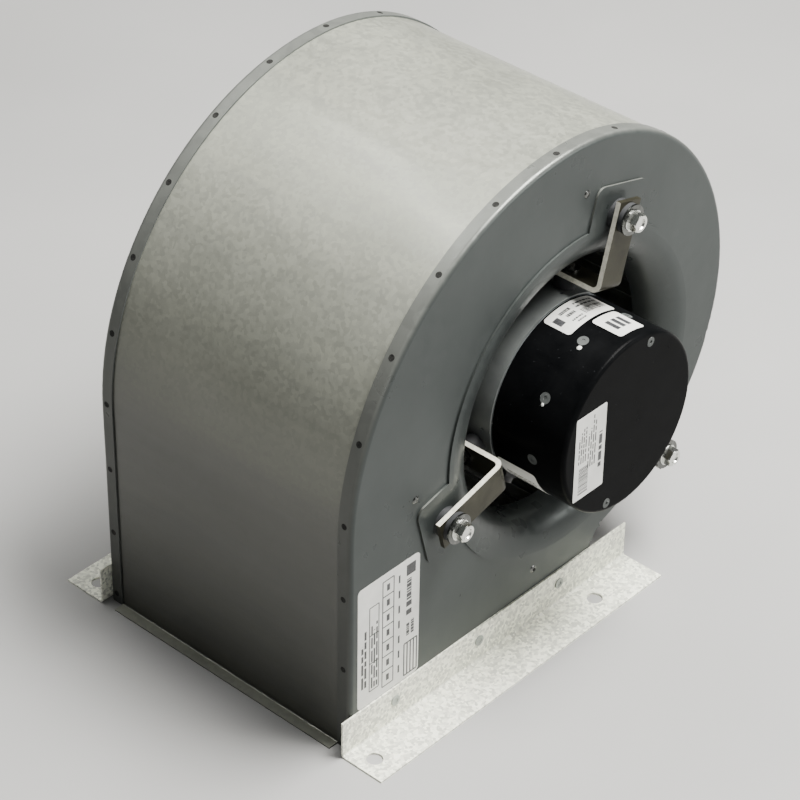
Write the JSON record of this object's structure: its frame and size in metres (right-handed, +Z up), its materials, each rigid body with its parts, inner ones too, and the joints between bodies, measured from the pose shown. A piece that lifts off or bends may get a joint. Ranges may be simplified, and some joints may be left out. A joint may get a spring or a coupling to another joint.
{
  "type": "dc blower fan",
  "caption": "Double-inlet centrifugal blower with a galvanised scroll housing, foot angles and a direct-drive motor on rubber-mounted arms.",
  "frame": {"origin": "centre of the four foot holes, on the surface that the fan stands on", "axes": "+X along the fan shaft towards the motor side, -Y towards the flat front of the scroll, +Z up; the outlet faces down"},
  "size_m": [0.3583, 0.4373, 0.425],
  "materials": {
    "wrap_sheet": "galvanised sheet with a dull grain",
    "side_sheet": "galvanised sheet, satin blue grey",
    "foot_sheet": "bright galvanised sheet with fine spangle",
    "zinc": "bright zinc plate",
    "arm_steel": "hot rolled strip, zinc dipped",
    "band_sheet": "galvanised sheet",
    "rubber": "dull black",
    "shell_paint": "dark grey paint",
    "black_paint": "satin black powder coat",
    "rivet_grey": "worn dark grey",
    "cast_alloy": "as cast",
    "bearing_steel": "ground",
    "core_steel": "stacked laminations",
    "winding": "varnished copper wire",
    "board": "solder mask",
    "capacitor": "sleeved can",
    "black_plastic": "moulded nylon",
    "shaft_steel": "ground and polished",
    "magnet": "sintered",
    "black_steel": "black oxide",
    "wheel_sheet": "galvanised sheet"
  },
  "bodies": {
    "housing": {"scroll_wrap": "wrap_sheet", "motor_side_plate": "side_sheet", "far_side_plate": "side_sheet", "motor_side_foot": "foot_sheet", "far_side_foot": "foot_sheet", "foot_clinches": "foot_sheet", "plate_rivets": "zinc", "arm_top": "arm_steel", "arm_front": "arm_steel", "arm_back": "arm_steel", "arm_grommets": "rubber", "arm_bushes": "rubber", "arm_washers": "zinc", "arm_bolts": "zinc", "arm_nuts": "zinc", "band_mounts": "rubber", "band_washers": "zinc", "band_screws": "zinc", "belly_band": "band_sheet", "band_saddles": "band_sheet", "motor_shell": "shell_paint", "drive_end_shield": "cast_alloy", "control_end_shield": "cast_alloy", "drive_end_bearing": "bearing_steel", "control_end_bearing": "bearing_steel", "stator_core": "core_steel", "stator_windings": "winding", "control_housing": "black_paint", "housing_rivets": "rivet_grey", "face_screws": "rivet_grey", "control_board": "board", "capacitors": "capacitor", "cable_gland": "black_plastic"},
    "impeller": {"motor_shaft": "shaft_steel", "rotor_core": "core_steel", "rotor_magnets": "magnet", "impeller_hub": "cast_alloy", "hub_set_screw": "black_steel", "hub_rivets": "zinc", "impeller_disc": "wheel_sheet", "blades_motor_side": "wheel_sheet", "blades_far_side": "wheel_sheet", "end_ring_motor_side": "wheel_sheet", "end_ring_far_side": "wheel_sheet"}
  },
  "joints": [
    {"name": "impeller_spin", "type": "hinge", "parent": "housing", "child": "impeller", "pos_m": [0, 0.111, 0.203], "axis": [1, 0, 0], "continuous": true}
  ]
}
